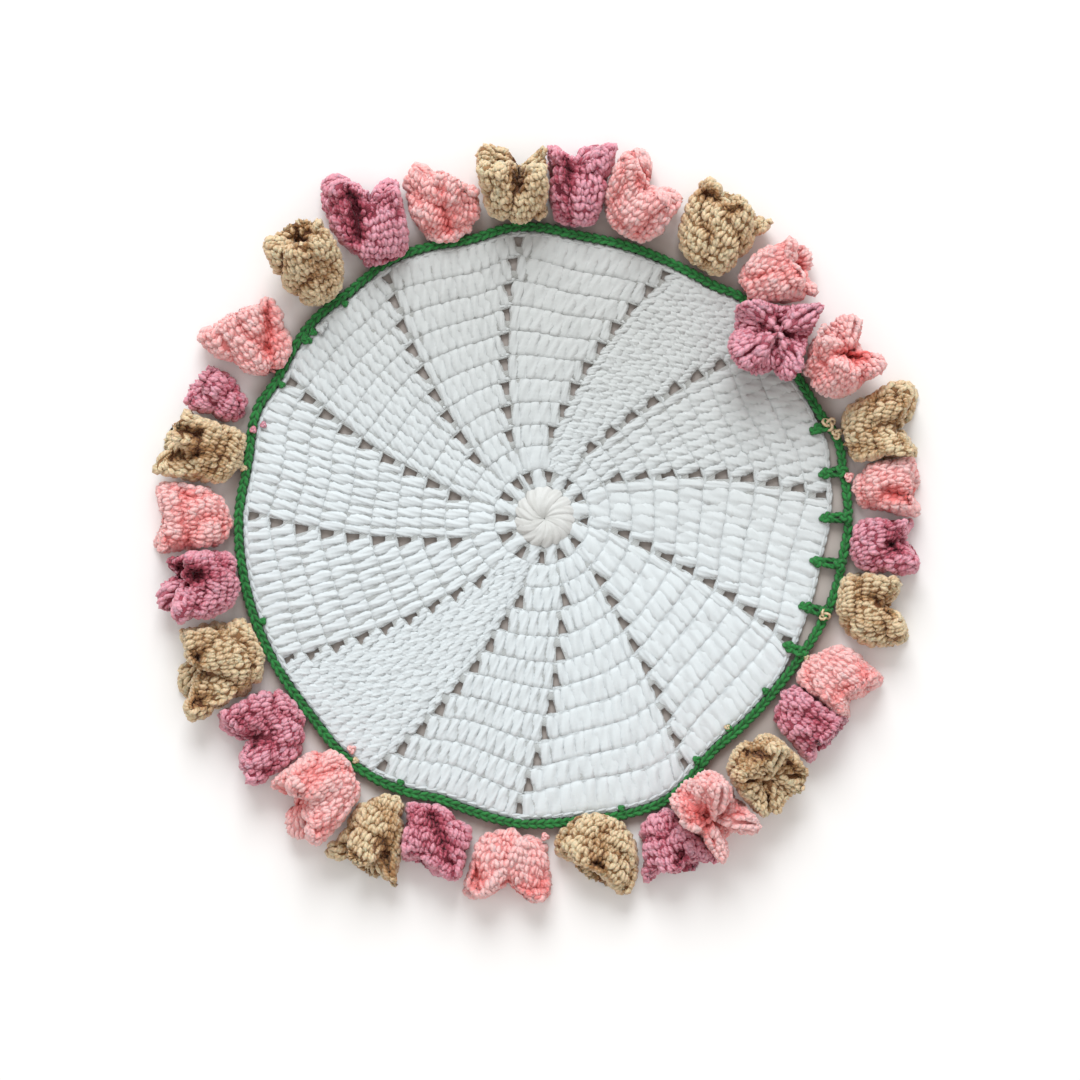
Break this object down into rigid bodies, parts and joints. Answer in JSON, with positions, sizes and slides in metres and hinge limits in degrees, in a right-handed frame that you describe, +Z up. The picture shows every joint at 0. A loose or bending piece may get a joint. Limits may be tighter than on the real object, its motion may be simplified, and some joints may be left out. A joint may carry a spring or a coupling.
{
  "type": "crochet coaster",
  "caption": "Round crocheted table mat with a pinwheel of eyelets, a corded edge and a ring of small crocheted tulips tied round its rim.",
  "frame": {"origin": "middle of the mat's first round of stitches, on its underside", "axes": "+Z up off the table out of the mat's right side, +Y towards the top of the picture, +X to its right"},
  "size_m": [0.2283, 0.2268, 0.0227],
  "materials": {
    "white_yarn": "soft matt white cotton, worked in double crochet",
    "green_yarn": "deep green cotton, chain stitched, a slight sheen",
    "pink_yarn": "salmon pink cotton with a soft sheen, single crochet",
    "mauve_yarn": "mauve cotton with a soft sheen, single crochet",
    "tan_yarn": "tan cotton with a soft sheen, single crochet"
  },
  "bodies": {
    "root": {"mat": "white_yarn", "edging": "green_yarn", "flower_01": "pink_yarn", "flower_02": "tan_yarn", "flower_03": "pink_yarn", "flower_04": "mauve_yarn", "flower_05": "pink_yarn", "flower_06": "tan_yarn", "flower_07": "pink_yarn", "flower_08": "mauve_yarn", "flower_09": "tan_yarn", "flower_10": "pink_yarn", "flower_11": "mauve_yarn", "flower_12": "tan_yarn", "flower_13": "pink_yarn", "flower_14": "mauve_yarn", "flower_15": "tan_yarn", "flower_16": "pink_yarn", "flower_17": "mauve_yarn", "flower_18": "tan_yarn", "flower_19": "mauve_yarn", "flower_20": "pink_yarn", "flower_21": "tan_yarn", "flower_22": "mauve_yarn", "flower_23": "pink_yarn", "flower_24": "tan_yarn", "flower_25": "mauve_yarn", "flower_26": "pink_yarn", "flower_27": "tan_yarn", "flower_28": "mauve_yarn", "flower_29": "pink_yarn", "flower_30": "tan_yarn", "flower_31": "mauve_yarn"}
  },
  "joints": []
}
